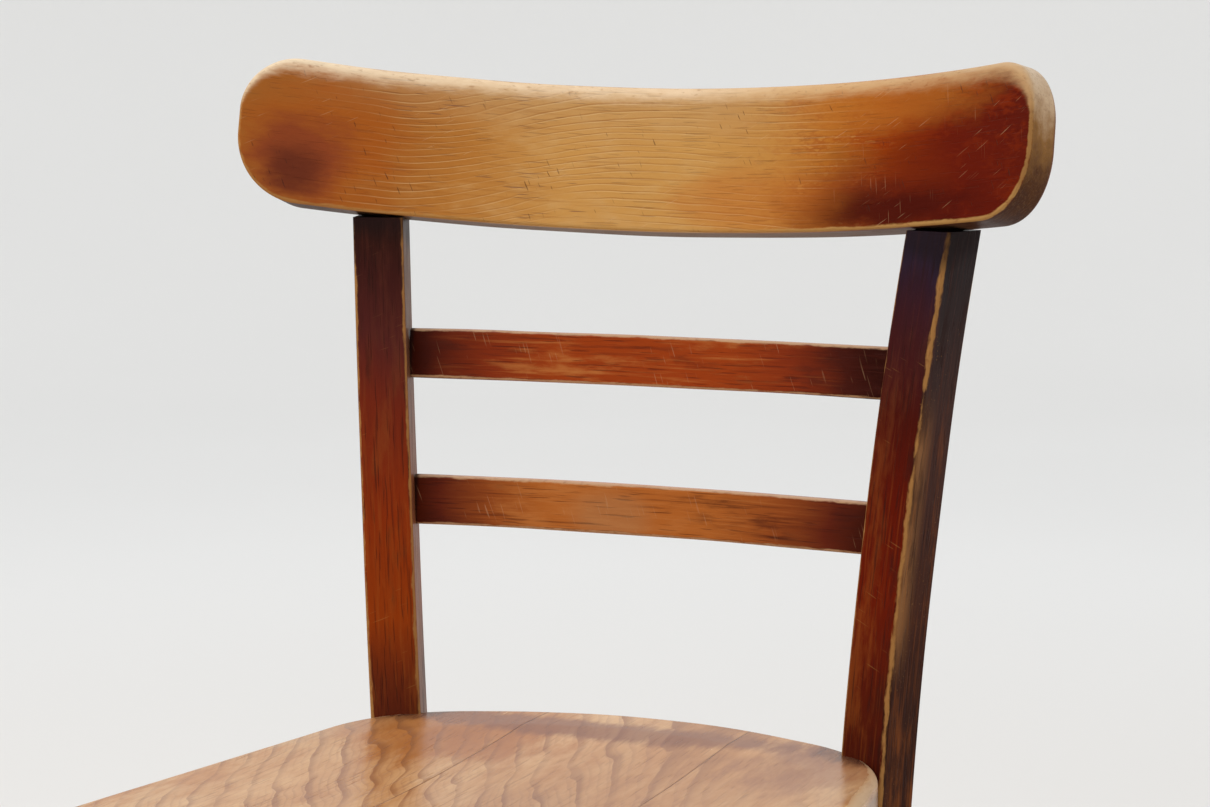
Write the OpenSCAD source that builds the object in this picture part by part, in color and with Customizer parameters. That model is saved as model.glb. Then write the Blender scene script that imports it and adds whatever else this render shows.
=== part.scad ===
// Solid-wood classroom chair with a curved crest rail, two thin back slats,
// one-piece rear legs and posts, a dished seat and a stretcher frame.
// The chair faces -Y and stands on z = 0, with its outline centred on x = 0 and y = 0.

/* [Overall] */
// Height of the seat's rim above the floor
seat_h = 450; // [400:1:500]
// Width of the seat at its front edge, before its corners are rounded
seat_w = 425; // [350:1:460]
// Distance from the front of the seat to the front of the posts
seat_front = 343; // [310:1:380]
// Height of the crest rail's underside above the seat's rim
back_h = 287; // [240:1:330]

/* [Rear legs and posts] */
// Half the distance between the posts' front faces at the seat's rim
post_x = 145; // [125:1:160]
// Width of a post across its front face
post_w = 30; // [26:0.5:36]
// Depth of a post from front to back
post_d = 31; // [26:0.5:38]
// Angle that each post's front face is turned towards the middle
post_toe = 19.6; // [10:0.1:25]
// Angle that each post leans outwards
post_lean = 2.6; // [0:0.1:4]
// Radius of the post's long backward curve
post_bend_r = 2030; // [1500:10:3000]
// Depth below the seat's rim where the rear leg stands upright
bend_drop = 104; // [60:1:160]
// Width of a leg at the floor
foot_w = 25; // [20:0.5:30]
// Height above the floor where the back of the rear leg starts to taper
taper_h = 250; // [150:1:300]
// Depth removed from the back of the rear leg at the floor
foot_taper = 5; // [0:0.5:8]

/* [Crest rail] */
// Length of the crest rail from end to end
crest_w = 476; // [430:1:520]
// Height of the crest rail
crest_h = 88; // [70:1:105]
// Thickness of the crest rail
crest_t = 30; // [26:0.5:34]
// Radius of the crest rail's front face, seen from above
crest_r = 400; // [340:5:600]
// Angle that the crest rail leans back
crest_tilt = 11; // [5:0.5:16]
// Distance that the crest rail's front stands proud of the posts
crest_proud = 4; // [0:0.5:6]
// Radius of the crest rail's rounded top edges
crest_edge_r = 9; // [4:0.5:11]
// Radius of the crest rail's upper end corners
crest_top_r = 34; // [20:1:38]
// Radius of the crest rail's lower end corners
crest_low_r = 30; // [20:1:32]

/* [Back slats] */
// Height of the lower slat's underside above the seat's rim
slat_low_z = 110.2; // [80:0.1:130]
// Distance between the two slats' undersides
slat_pitch = 86.5; // [60:0.5:105]
// Height of a slat
slat_h = 29.5; // [20:0.5:38]
// Thickness of a slat
slat_t = 8; // [6:0.5:10]
// Distance that the middle of a slat is bowed back
slat_bow = 11.5; // [6:0.5:20]
// Distance of a slat's ends behind the posts' front faces
slat_inset = 13; // [9:0.5:15]

/* [Seat] */
// Thickness of the seat at its rim
seat_t = 24; // [20:1:30]
// Depth of the seat's dish
dish_depth = 7; // [3:0.5:10]
// Distance that the seat's rear edge reaches behind the posts' front faces
seat_rear = 54.9; // [46:0.1:62]
// Radius of the seat's bowed rear edge
seat_bow_r = 237; // [200:1:260]
// Angle at which the rear edge runs into its corners
seat_bow_end = 21.4; // [15:0.1:23]
// Angle of the seat's sides to the middle line
seat_flare = 8.5; // [4:0.1:9]
// Radius of the seat's rear corners
seat_rear_r = 94; // [60:1:95]
// Radius of the seat's front corners
seat_front_r = 42; // [25:1:60]
// Width of the middle one of the seat's three boards
board_w = 128; // [90:1:150]

/* [Frame under the seat] */
// Width of a front leg at its top
leg_w = 34; // [30:0.5:40]
// Distance of the front legs behind the seat's front edge
leg_set = 26; // [18:1:40]
// Distance of the front legs' outer faces inside the seat's sides
leg_side_set = 14; // [8:1:25]
// Length of a front leg that stays square below the aprons
leg_below = 8; // [4:1:40]
// Height of the aprons
apron_h = 52; // [40:1:70]
// Thickness of the aprons
apron_t = 18; // [16:0.5:22]
// Height of the side stretchers' undersides above the floor
stretcher_z = 165; // [100:1:220]
// Height of a stretcher
stretcher_h = 28; // [22:1:36]
// Thickness of a stretcher
stretcher_t = 17; // [14:0.5:20]
// Share of the way from the front leg to the rear leg where the cross stretcher sits
cross_at = 0.45; // [0.3:0.05:0.7]

/* [Joints and fixings] */
// Length of a side apron's or a side stretcher's tenon
tenon_l = 11; // [8:0.5:12]
// Length of the cross stretcher's tenon
cross_tenon_l = 9; // [6:0.5:10]
// Wood left in a leg between the tenons that meet there
tenon_wall = 3; // [2:0.5:4]
// Thickness of a tenon
tenon_t = 8; // [6:0.5:9]
// Shoulder above and below a tenon
tenon_shoulder = 4; // [2:0.5:6]
// Length of the tenon on top of a post
post_tenon_l = 34; // [20:1:45]
// Length of a slat's end inside the post
slat_tenon_l = 9; // [6:0.5:10]
// Gap between a tenon's cheeks and its mortise
joint_gap = 0.15; // [0.05:0.05:0.3]
// Gap between a tenon's end and the bottom of its mortise
end_gap = 1; // [0.5:0.1:2]
// Gap between the seat and a post
seat_gap = 0.3; // [0.1:0.1:1]
// Length of a corner block's face on an apron
block_leg = 46; // [38:1:60]
// Height of a corner block
block_h = 24; // [18:1:30]
// Radius of a wood screw's shank
screw_r = 2; // [1.5:0.1:2.5]
// Radius of a wood screw's head
screw_head_r = 4; // [3:0.1:4.5]
// Gap round a screw in the hole through a corner block
screw_gap = 0.15; // [0.1:0.05:0.3]
// Depth of a screw's point in the wood that it holds
screw_bite = 12; // [8:1:13]
// Radius of a foot glide's head
glide_r = 9; // [7:0.5:10]
// Height of a foot glide's head under the leg
glide_h = 3; // [2:0.5:5]
// Length of a foot glide's nail
nail_l = 18; // [12:1:25]

/* [Hidden] */
$fn = 96;
left = -1;
right = 1;
big_fn = 720;
far = 1000;
nail_r = 1.2;
screw_head_h = 2.5;

// The post's front face, as a distance back along its own depth at a height z above the seat's rim
function bend(z) = sqrt(pow(post_bend_r, 2) - pow(bend_drop, 2)) - sqrt(pow(post_bend_r, 2) - pow(z + bend_drop, 2));

// A point in a right-hand post, t across and n behind its front face's middle at height z,
// measured from the middle between the two posts' front faces
function post_point(t, n, z) =
    let (across = t + z * tan(post_lean), back = n + bend(z))
    [post_x + across * cos(post_toe) + back * sin(post_toe),
     back * cos(post_toe) - across * sin(post_toe)];

// The crest rail's front face runs through the posts' middles, set forward by crest_proud
crest_meet = post_point(0, 0, back_h);
crest_sag = crest_r - sqrt(pow(crest_r, 2) - pow(crest_meet[0], 2));
crest_y = crest_meet[1] - crest_proud + crest_sag * cos(crest_tilt);

// The chair's reach behind and in front of the posts' front faces, which centres it on y = 0
crest_reach = crest_y + (crest_h - crest_edge_r) * sin(crest_tilt)
    + (crest_t - crest_edge_r) * cos(crest_tilt) + crest_edge_r;
post_y = (seat_front - crest_reach) / 2;

under_seat = seat_h - seat_t;
apron_z = under_seat - apron_h;
crest_line = seat_h + back_h;

// Half the seat's width at a distance y behind the posts' front faces
function seat_side(y) = seat_w / 2 - (y + seat_front) * tan(seat_flare);

// The front legs' middles and the rear legs' middles at a height above the floor
leg_y = post_y - seat_front + leg_set + leg_w / 2;
leg_x = seat_side(leg_y - post_y) - leg_side_set - leg_w / 2;
function rear_middle(z) = post_point(0, post_d / 2, z - seat_h) + [0, post_y];

// Points along a polygon's outline with each corner rounded by its own radius.
// Each corner is [x, y, radius], and the corners go round once in order.
function rounded(corners, steps = 12) = [
    for (i = [0 : len(corners) - 1])
        let (n = len(corners),
             p = [corners[i][0], corners[i][1]],
             a = [corners[(i + n - 1) % n][0], corners[(i + n - 1) % n][1]] - p,
             b = [corners[(i + 1) % n][0], corners[(i + 1) % n][1]] - p,
             ua = a / norm(a),
             ub = b / norm(b),
             half = acos(ua * ub) / 2,
             centre = p + (ua + ub) / norm(ua + ub) * corners[i][2] / sin(half),
             start = p + ua * corners[i][2] / tan(half) - centre,
             turn = 180 - 2 * half,
             way = sign(ua[0] * ub[1] - ua[1] * ub[0]))
        for (k = [0 : steps])
            let (angle = -way * turn * k / steps)
            centre + [start[0] * cos(angle) - start[1] * sin(angle),
                      start[0] * sin(angle) + start[1] * cos(angle)]
];

// Frames that the pieces are built in

module at_side(side) {
    mirror([side == left ? 1 : 0, 0, 0])
        children();
}

module post_frame() {
    translate([post_x, post_y, seat_h])
        rotate([0, 0, -post_toe])
            rotate([0, post_lean, 0])
                children();
}

module crest_frame() {
    translate([0, post_y + crest_y, crest_line])
        rotate([-crest_tilt, 0, 0])
            children();
}

// Rear legs and posts

// The curved leg sawn from a plank, grown by extra on every side, before it is cut to length
module post_blank(extra = 0) {
    centre = [sqrt(pow(post_bend_r, 2) - pow(bend_drop, 2)), -bend_drop];
    wedge = [[-post_w / 2 - extra, far], [post_w / 2 + extra, far], [post_w / 2 + extra, -seat_t],
             [foot_w / 2 + extra, -seat_h], [foot_w / 2 + extra, -seat_h - 60], [-foot_w / 2 - extra, -seat_h - 60],
             [-foot_w / 2 - extra, -seat_h], [-post_w / 2 - extra, -seat_t]];
    post_frame()
        intersection() {
            rotate([90, 0, 90])
                linear_extrude(far, center = true)
                    intersection() {
                        difference() {
                            translate(centre)
                                circle(post_bend_r + extra, $fn = big_fn);
                            translate(centre)
                                circle(post_bend_r - post_d - extra, $fn = big_fn);
                        }
                        translate([-far / 2, -seat_h - 50])
                            square([far, seat_h + 50 + back_h + crest_h]);
                    }
            rotate([90, 0, 0])
                linear_extrude(far, center = true)
                    polygon(wedge);
        }
}

// The wood that the taper takes off the back of the rear leg near the floor
module foot_wedge() {
    top = bend(taper_h - seat_h) + post_d;
    low = bend(-seat_h) + post_d - foot_taper;
    post_frame()
        rotate([90, 0, 90])
            linear_extrude(far, center = true)
                polygon([[top, taper_h - seat_h], [low, -seat_h - 1], [low, -seat_h - 60],
                         [far, -seat_h - 60], [far, taper_h - seat_h]]);
}

// The tenon on top of a post, grown by cheek on its faces and by tip at its end
module post_tenon(cheek = 0, tip = 0) {
    meet = post_point(0, crest_t / 2 - crest_proud, back_h);
    wide = post_w - 2 * tenon_shoulder;
    translate([meet[0], post_y + meet[1], crest_line])
        rotate([-crest_tilt, 0, 0])
            rotate([0, 0, -post_toe])
                translate([-wide / 2 - cheek, -tenon_t / 2 - cheek, -tenon_t])
                    cube([wide + 2 * cheek, tenon_t + 2 * cheek, tenon_t + post_tenon_l + tip]);
}

module back_post(side) {
    color("saddlebrown")
        at_side(side)
            difference() {
                union() {
                    intersection() {
                        post_blank();
                        translate([-far / 2, -far / 2, glide_h])
                            cube([far, far, far]);
                        crest_frame()
                            translate([-far / 2, -far / 2, -far])
                                cube([far, far, far]);
                    }
                    post_tenon();
                }
                foot_wedge();
                slat_blank(slat_low_z, joint_gap, end_gap);
                slat_blank(slat_low_z + slat_pitch, joint_gap, end_gap);
                side_tenon(apron_z, apron_h, joint_gap, end_gap);
                side_tenon(stretcher_z, stretcher_h, joint_gap, end_gap);
                rear_tenon(joint_gap, end_gap);
                nail_hole(rear_foot());
            }
}

module back_post_left() { back_post(left); }
module back_post_right() { back_post(right); }

// Crest rail

module crest_rail() {
    round_end = [[-crest_w / 2, 0, crest_low_r], [crest_w / 2, 0, crest_low_r],
                 [crest_w / 2, crest_h, crest_top_r], [-crest_w / 2, crest_h, crest_top_r]];
    sweep = 2 * asin(crest_w / 2 / crest_r) + 6;
    color("peru")
        difference() {
            crest_frame()
                intersection() {
                    translate([0, -crest_r, 0])
                        rotate([0, 0, 90 - sweep / 2])
                            rotate_extrude(angle = sweep, $fn = 180)
                                translate([crest_r, 0])
                                    crest_section();
                    rotate([90, 0, 0])
                        linear_extrude(far, center = true)
                            polygon(rounded(round_end, 16));
                }
            for (side = [left, right])
                at_side(side)
                    post_tenon(joint_gap, end_gap);
        }
}

// The rail's section: square below, with round top edges
module crest_section() {
    square([crest_t, crest_h - crest_edge_r]);
    translate([crest_edge_r, crest_h - 2 * crest_edge_r])
        square([crest_t - 2 * crest_edge_r, 2 * crest_edge_r]);
    for (x = [crest_edge_r, crest_t - crest_edge_r])
        translate([x, crest_h - crest_edge_r])
            circle(crest_edge_r);
}

// Back slats

// A bowed slat whose ends run into the posts, grown by cheek on its
// two curved faces and by tip at its ends
module slat_blank(z, cheek = 0, tip = 0) {
    end = post_point(-post_w / 2, slat_inset, z + slat_h / 2);
    half = end[0] + slat_tenon_l;
    r = (pow(end[0], 2) + pow(slat_bow, 2)) / (2 * slat_bow);
    tilt = atan((bend(z + slat_h) - bend(z)) / slat_h);
    translate([0, post_y + end[1] + slat_bow, seat_h + z + slat_h / 2])
        rotate([-tilt, 0, 0])
            intersection() {
                translate([0, -r, 0])
                    difference() {
                        cylinder(h = slat_h, r = r + slat_t + cheek, center = true, $fn = big_fn);
                        cylinder(h = 2 * slat_h, r = r - cheek, center = true, $fn = big_fn);
                    }
                cube([2 * (half + tip), 4 * slat_bow + 4 * slat_t, far], center = true);
            }
}

module upper_back_slat() {
    color("sienna")
        slat_blank(slat_low_z + slat_pitch);
}

module lower_back_slat() {
    color("sienna")
        slat_blank(slat_low_z);
}

// Seat

// The seat's outline, anticlockwise from the rear middle: a bowed rear edge, straight
// flared sides and a slightly bowed front edge, with its corners rounded
module seat_outline() {
    front_bow_r = 880;
    front_bow_end = 4.5;
    apex = seat_rear + seat_bow_r * (1 / cos(seat_bow_end) - 1);
    x = (seat_side(0) - apex * tan(seat_flare)) / (1 - tan(seat_bow_end) * tan(seat_flare));
    y = apex - x * tan(seat_bow_end);
    front_apex = -seat_front - front_bow_r * (1 / cos(front_bow_end) - 1);
    front_x = seat_side(front_apex) / (1 + tan(front_bow_end) * tan(seat_flare));
    front_y = front_apex + front_x * tan(front_bow_end);
    polygon(rounded([[0, apex, seat_bow_r],
                     [-x, y, seat_rear_r],
                     [-front_x, front_y, seat_front_r],
                     [0, front_apex, front_bow_r],
                     [front_x, front_y, seat_front_r],
                     [x, y, seat_rear_r]]));
}

// The whole glued seat with its dish and its notches for the posts
module seat_blank() {
    dish_y = -seat_front / 2 + seat_rear / 4;
    dish_span = seat_side(dish_y) - 10;
    dish_r = (pow(dish_span, 2) + pow(dish_depth, 2)) / (2 * dish_depth);
    difference() {
        translate([0, post_y, under_seat])
            linear_extrude(seat_t)
                seat_outline();
        translate([0, post_y + dish_y, seat_h - dish_depth])
            rotate_extrude($fn = big_fn / 2)
                intersection() {
                    translate([0, dish_r])
                        circle(dish_r, $fn = 4 * big_fn);
                    square([dish_span + seat_t, dish_depth + seat_t]);
                }
        for (side = [left, right])
            at_side(side)
                post_blank(seat_gap);
        seat_screw_set();
    }
}

// One board of the seat: -1 is the left one, 0 the middle one and 1 the right one
module seat_board(place) {
    from = place == -1 ? -far : (place - 0.5) * board_w;
    to = place == 1 ? far : (place + 0.5) * board_w;
    color("chocolate")
        intersection() {
            seat_blank();
            translate([from, -far / 2, 0])
                cube([to - from, far, far]);
        }
}

module seat_board_left() { seat_board(-1); }
module seat_board_centre() { seat_board(0); }
module seat_board_right() { seat_board(1); }

// Front legs

// A square leg, upright outside and tapered below the aprons on its two inner faces.
// As a cutter it is raised by rise, so that it clears what it cuts.
module leg_blank(rise = 0) {
    w = leg_w / 2;
    inner = w - foot_w;
    top = under_seat + rise;
    square_z = apron_z - leg_below;
    translate([leg_x, leg_y, 0])
        intersection() {
            rotate([90, 0, 0])
                linear_extrude(leg_w, center = true)
                    polygon([[inner, 0], [w, 0], [w, top], [-w, top], [-w, square_z]]);
            rotate([90, 0, 90])
                linear_extrude(leg_w, center = true)
                    polygon([[-w, 0], [-inner, 0], [w, square_z], [w, top], [-w, top]]);
        }
}

module front_leg(side) {
    color("saddlebrown")
        at_side(side)
            difference() {
                intersection() {
                    leg_blank();
                    translate([-far / 2, -far / 2, glide_h])
                        cube([far, far, far]);
                }
                side_tenon(apron_z, apron_h, joint_gap, end_gap);
                side_tenon(stretcher_z, stretcher_h, joint_gap, end_gap);
                front_tenon(joint_gap, end_gap);
                nail_hole(front_foot());
            }
}

module front_leg_left() { front_leg(left); }
module front_leg_right() { front_leg(right); }

// Aprons and side stretchers

// Children run along local +X from a front leg's middle to the rear leg's middle at height z
module side_line(z, h) {
    to = rear_middle(z + h / 2) - [leg_x, leg_y];
    translate([leg_x, leg_y, z])
        rotate([0, 0, atan2(to[1], to[0])])
            children();
}

function side_length(z, h) = norm(rear_middle(z + h / 2) - [leg_x, leg_y]);

// The side tenons are one bar from inside one leg to inside the other
module side_tenon(z, h, cheek = 0, tip = 0) {
    side_line(z, h)
        translate([leg_w / 2 - tenon_l - tip, -tenon_t / 2 - cheek, tenon_shoulder - cheek])
            cube([side_length(z, h) - leg_w / 2 - post_d / 2 + 2 * tenon_l + 2 * tip,
                  tenon_t + 2 * cheek, h - 2 * tenon_shoulder + 2 * cheek]);
}

module side_bar(z, h, t) {
    difference() {
        side_line(z, h)
            translate([0, -t / 2, 0])
                cube([side_length(z, h), t, h]);
        leg_blank(seat_t);
        post_blank();
    }
    side_tenon(z, h);
}

module side_apron(side) {
    color("sienna")
        at_side(side)
            difference() {
                side_bar(apron_z, apron_h, apron_t);
                for (rear = [0, 1])
                    block_screw_set(rear);
            }
}

module side_apron_left() { side_apron(left); }
module side_apron_right() { side_apron(right); }

module side_stretcher(side) {
    color("sienna")
        at_side(side)
            difference() {
                side_bar(stretcher_z, stretcher_h, stretcher_t);
                cross_tenon(joint_gap, end_gap);
            }
}

module side_stretcher_left() { side_stretcher(left); }
module side_stretcher_right() { side_stretcher(right); }

// The front and rear aprons' tenons reach from side to side and stop short of the side
// aprons' tenons, grown by cheek on their faces and by tip at their ends
module front_tenon(cheek = 0, tip = 0) {
    half = leg_x - tenon_t / 2 - tenon_wall + tip;
    translate([-half, leg_y - tenon_t / 2 - cheek, apron_z + tenon_shoulder - cheek])
        cube([2 * half, tenon_t + 2 * cheek, apron_h - 2 * tenon_shoulder + 2 * cheek]);
}

module rear_tenon(cheek = 0, tip = 0) {
    middle = rear_middle(apron_z + apron_h / 2);
    half = middle[0] - tenon_t / 2 - tenon_wall + tip;
    translate([-half, middle[1] - tenon_t / 2 - cheek, apron_z + tenon_shoulder - cheek])
        cube([2 * half, tenon_t + 2 * cheek, apron_h - 2 * tenon_shoulder + 2 * cheek]);
}

module front_apron() {
    color("sienna")
        difference() {
            union() {
                translate([-leg_x + leg_w / 2, leg_y - apron_t / 2, apron_z])
                    cube([2 * leg_x - leg_w, apron_t, apron_h]);
                front_tenon();
            }
            for (side = [left, right])
                at_side(side)
                    block_screw_set(0);
        }
}

module rear_apron() {
    middle = rear_middle(apron_z + apron_h / 2);
    color("sienna")
        difference() {
            union() {
                difference() {
                    translate([-middle[0], middle[1] - apron_t / 2, apron_z])
                        cube([2 * middle[0], apron_t, apron_h]);
                    for (side = [left, right])
                        at_side(side)
                            post_blank();
                }
                rear_tenon();
            }
            for (side = [left, right])
                at_side(side)
                    block_screw_set(1);
        }
}

// Cross stretcher, from one side stretcher's inner face to the other's

function cross_point() =
    let (to = rear_middle(stretcher_z + stretcher_h / 2))
    [leg_x, leg_y] + cross_at * (to - [leg_x, leg_y]);

module cross_tenon(cheek = 0, tip = 0) {
    half = cross_point()[0] - stretcher_t / 2 + cross_tenon_l + tip;
    translate([-half, cross_point()[1] - tenon_t / 2 - cheek, stretcher_z + tenon_shoulder - cheek])
        cube([2 * half, tenon_t + 2 * cheek, stretcher_h - 2 * tenon_shoulder + 2 * cheek]);
}

module cross_stretcher() {
    half = cross_point()[0];
    color("sienna") {
        difference() {
            translate([-half, cross_point()[1] - stretcher_t / 2, stretcher_z])
                cube([2 * half, stretcher_t, stretcher_h]);
            for (side = [left, right])
                at_side(side)
                    side_line(stretcher_z, stretcher_h)
                        translate([0, -stretcher_t / 2, -far / 2])
                            cube([far, stretcher_t, far]);
        }
        cross_tenon();
    }
}

// Corner blocks

// The inner corner of the frame, where the aprons' inner faces would meet, front or rear
function inner_corner(rear) =
    let (middle = rear_middle(apron_z + apron_h / 2))
    rear == 1 ? middle + [-apron_t / 2, -apron_t / 2] : [leg_x - apron_t / 2, leg_y + apron_t / 2];

module corner_block(side, rear) {
    corner = inner_corner(rear);
    way = rear == 1 ? -1 : 1;
    clip = leg_w - apron_t + 6;
    color("burlywood")
        at_side(side)
            difference() {
                translate([corner[0], corner[1], under_seat - block_h])
                    linear_extrude(block_h)
                        polygon([[-clip, 0], [-block_leg, 0], [0, block_leg * way],
                                 [apron_t / 2, block_leg * way], [apron_t / 2, (clip + apron_t / 2) * way]]);
                side_line(apron_z, apron_h)
                    translate([0, -apron_t / 2, -1])
                        cube([side_length(apron_z, apron_h), apron_t, apron_h + 2]);
                block_screw_set(rear, screw_gap);
                seat_screw_set(screw_gap);
            }
}

module corner_block_front_left() { corner_block(left, 0); }
module corner_block_front_right() { corner_block(right, 0); }
module corner_block_rear_left() { corner_block(left, 1); }
module corner_block_rear_right() { corner_block(right, 1); }

// Screws and glides

// A countersunk screw along +Z with its head's face on z = 0. Its hole is grown by gap
// and opens behind the head.
module screw(length, gap = 0) {
    rotate_extrude()
        polygon([[0, 0], [screw_head_r + gap, 0], [screw_r + gap, screw_head_h + gap],
                 [screw_r + gap, length - screw_r], [0, length + gap]]);
    if (gap > 0)
        translate([0, 0, -2 * screw_head_r])
            cylinder(h = 2 * screw_head_r, r = screw_head_r + gap);
}

// One screw through each face of a corner block into each apron beside it
module block_screw_set(rear, gap = 0) {
    corner = inner_corner(rear);
    way = rear == 1 ? -1 : 1;
    reach = block_leg * 0.62;
    rest = block_leg - reach;
    sunk = rest - screw_head_r;
    length = sunk + screw_bite;
    z = under_seat - block_h / 2;
    translate([corner[0] - reach, corner[1] + sunk * way, z])
        rotate([90 * way, 0, 0])
            screw(length, gap);
    translate([corner[0] - sunk, corner[1] + reach * way, z])
        rotate([0, 90, 0])
            screw(length, gap);
}

// One screw up through each corner block into the seat
module seat_screw_set(gap = 0) {
    for (side = [left, right])
        for (rear = [0, 1])
            let (corner = inner_corner(rear), way = rear == 1 ? -1 : 1)
                at_side(side)
                    translate([corner[0] - block_leg * 0.25, corner[1] + block_leg * 0.25 * way,
                               under_seat - block_h])
                        screw(block_h + screw_bite, gap);
}

module block_screws() {
    color("darkgray")
        for (side = [left, right])
            for (rear = [0, 1])
                at_side(side)
                    block_screw_set(rear);
}

module seat_screws() {
    color("darkgray")
        seat_screw_set();
}

function front_foot() = [leg_x + leg_w / 2 - foot_w / 2, leg_y - leg_w / 2 + foot_w / 2];
function rear_foot() = post_point(0, (post_d - foot_taper) / 2, -seat_h) + [0, post_y];

module nail_hole(foot) {
    translate([foot[0], foot[1], 0])
        cylinder(h = glide_h + nail_l + end_gap, r = nail_r);
}

module foot_glides() {
    color("silver")
        for (side = [left, right])
            for (foot = [front_foot(), rear_foot()])
                at_side(side)
                    translate([foot[0], foot[1], 0]) {
                        cylinder(h = glide_h, r = glide_r);
                        cylinder(h = glide_h + nail_l, r = nail_r);
                    }
}

crest_rail();
back_post_left();
back_post_right();
upper_back_slat();
lower_back_slat();
seat_board_left();
seat_board_centre();
seat_board_right();
front_leg_left();
front_leg_right();
front_apron();
rear_apron();
side_apron_left();
side_apron_right();
side_stretcher_left();
side_stretcher_right();
cross_stretcher();
corner_block_front_left();
corner_block_front_right();
corner_block_rear_left();
corner_block_rear_right();
block_screws();
seat_screws();
foot_glides();
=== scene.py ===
from math import cos, pi, radians, sin, sqrt, tan

import bmesh
import bpy
import numpy as np
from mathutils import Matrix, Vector


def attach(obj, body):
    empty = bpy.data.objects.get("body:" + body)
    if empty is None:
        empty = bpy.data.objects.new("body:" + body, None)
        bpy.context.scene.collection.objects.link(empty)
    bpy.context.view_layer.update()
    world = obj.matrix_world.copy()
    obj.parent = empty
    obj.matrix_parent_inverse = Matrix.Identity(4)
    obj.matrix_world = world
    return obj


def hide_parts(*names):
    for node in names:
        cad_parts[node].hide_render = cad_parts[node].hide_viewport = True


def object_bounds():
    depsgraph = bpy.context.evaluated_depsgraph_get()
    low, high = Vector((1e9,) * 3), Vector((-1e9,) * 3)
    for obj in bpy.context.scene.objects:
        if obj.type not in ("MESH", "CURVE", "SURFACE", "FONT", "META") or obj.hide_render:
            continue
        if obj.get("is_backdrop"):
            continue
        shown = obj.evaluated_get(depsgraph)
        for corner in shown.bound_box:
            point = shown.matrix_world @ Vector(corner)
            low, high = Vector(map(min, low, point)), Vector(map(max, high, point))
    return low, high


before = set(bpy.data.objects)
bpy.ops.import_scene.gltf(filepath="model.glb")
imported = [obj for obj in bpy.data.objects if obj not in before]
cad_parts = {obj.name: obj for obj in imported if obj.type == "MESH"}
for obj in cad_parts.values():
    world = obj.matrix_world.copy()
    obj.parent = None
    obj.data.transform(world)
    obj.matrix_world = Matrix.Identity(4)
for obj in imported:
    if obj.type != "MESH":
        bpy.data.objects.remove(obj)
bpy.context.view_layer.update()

MM = 0.001

# Sizes of the chair in metres, as the CAD model has them

SEAT_H, SEAT_T, SEAT_W, SEAT_FRONT = 450 * MM, 24 * MM, 425 * MM, 343 * MM
SEAT_REAR, SEAT_BOW_R, SEAT_BOW_END = 54.9 * MM, 237 * MM, radians(21.4)
FRONT_BOW_R, FRONT_BOW_END = 880 * MM, radians(4.5)
SEAT_FLARE, SEAT_REAR_R, SEAT_FRONT_R = radians(8.5), 94 * MM, 42 * MM
DISH_SPAN, DISH_DEPTH, BOARD_W = 175 * MM, 7 * MM, 128 * MM
POST_X, POST_Y, POST_W, POST_D = 145 * MM, 118.28 * MM, 30 * MM, 31 * MM
POST_TOE, POST_LEAN = radians(19.6), radians(2.6)
POST_BEND_R, BEND_DROP = 2030 * MM, 104 * MM
FOOT_W, TAPER_H, FOOT_TAPER, GLIDE_H = 25 * MM, 250 * MM, 5 * MM, 3 * MM
CREST_R, CREST_TILT, CREST_T = 400 * MM, radians(11), 30 * MM
CREST_LINE, CREST_H = 735.4 * MM, 85.5 * MM
CREST_TOP_R, CREST_LOW_R = 34 * MM, 38 * MM
CREST_Y = POST_Y + 64 * MM
CREST_TIP, CREST_TIP_FLARE, CREST_SHIFT = 239.5 * MM, 1 / 6, 4 * MM
CREST_SMILE, CREST_FAN = 0.072, 0.033
SLAT_Z, SLAT_H, SLAT_T = (560.2 * MM, 646.7 * MM), 29.5 * MM, 8 * MM
SLAT_BOW, SLAT_INSET = 11.5 * MM, 13 * MM
LEG_W, LEG_X, LEG_Y, SQUARE_Z = 34 * MM, 175.07 * MM, -181.7 * MM, 366 * MM
APRON_Z, APRON_H, APRON_T = 374 * MM, 52 * MM, 18 * MM
STRETCHER_Z, STRETCHER_H, STRETCHER_T = 165 * MM, 28 * MM, 17 * MM
CROSS_AT = 0.45

# How far a visible bar runs into the leg or post that holds it
INTO_LEG, INTO_POST, FRONT_INTO_LEG, REAR_INTO_POST, CROSS_IN = (a * MM for a in (3, 5, 2, 4, 1.5))
SMALL_ARRIS, CROSS_ARRIS = 1.6 * MM, 2.4 * MM
# How uneven the hand-shaped wood of each piece is
UNEVEN_CREST, UNEVEN_SLAT, UNEVEN_POST, UNEVEN = 0.35 * MM, 0.3 * MM, 0.25 * MM, 0.2 * MM

# Floor, light and camera
FLOOR_FLAT, FLOOR_RISE = 5.5, 2.5
SENSOR, LENS = 36, 89.6132
EYE, TURN, DIP = (0.6657, -1.4357, 0.8396), radians(23.49), radians(6.68)


# Shapes


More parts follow.
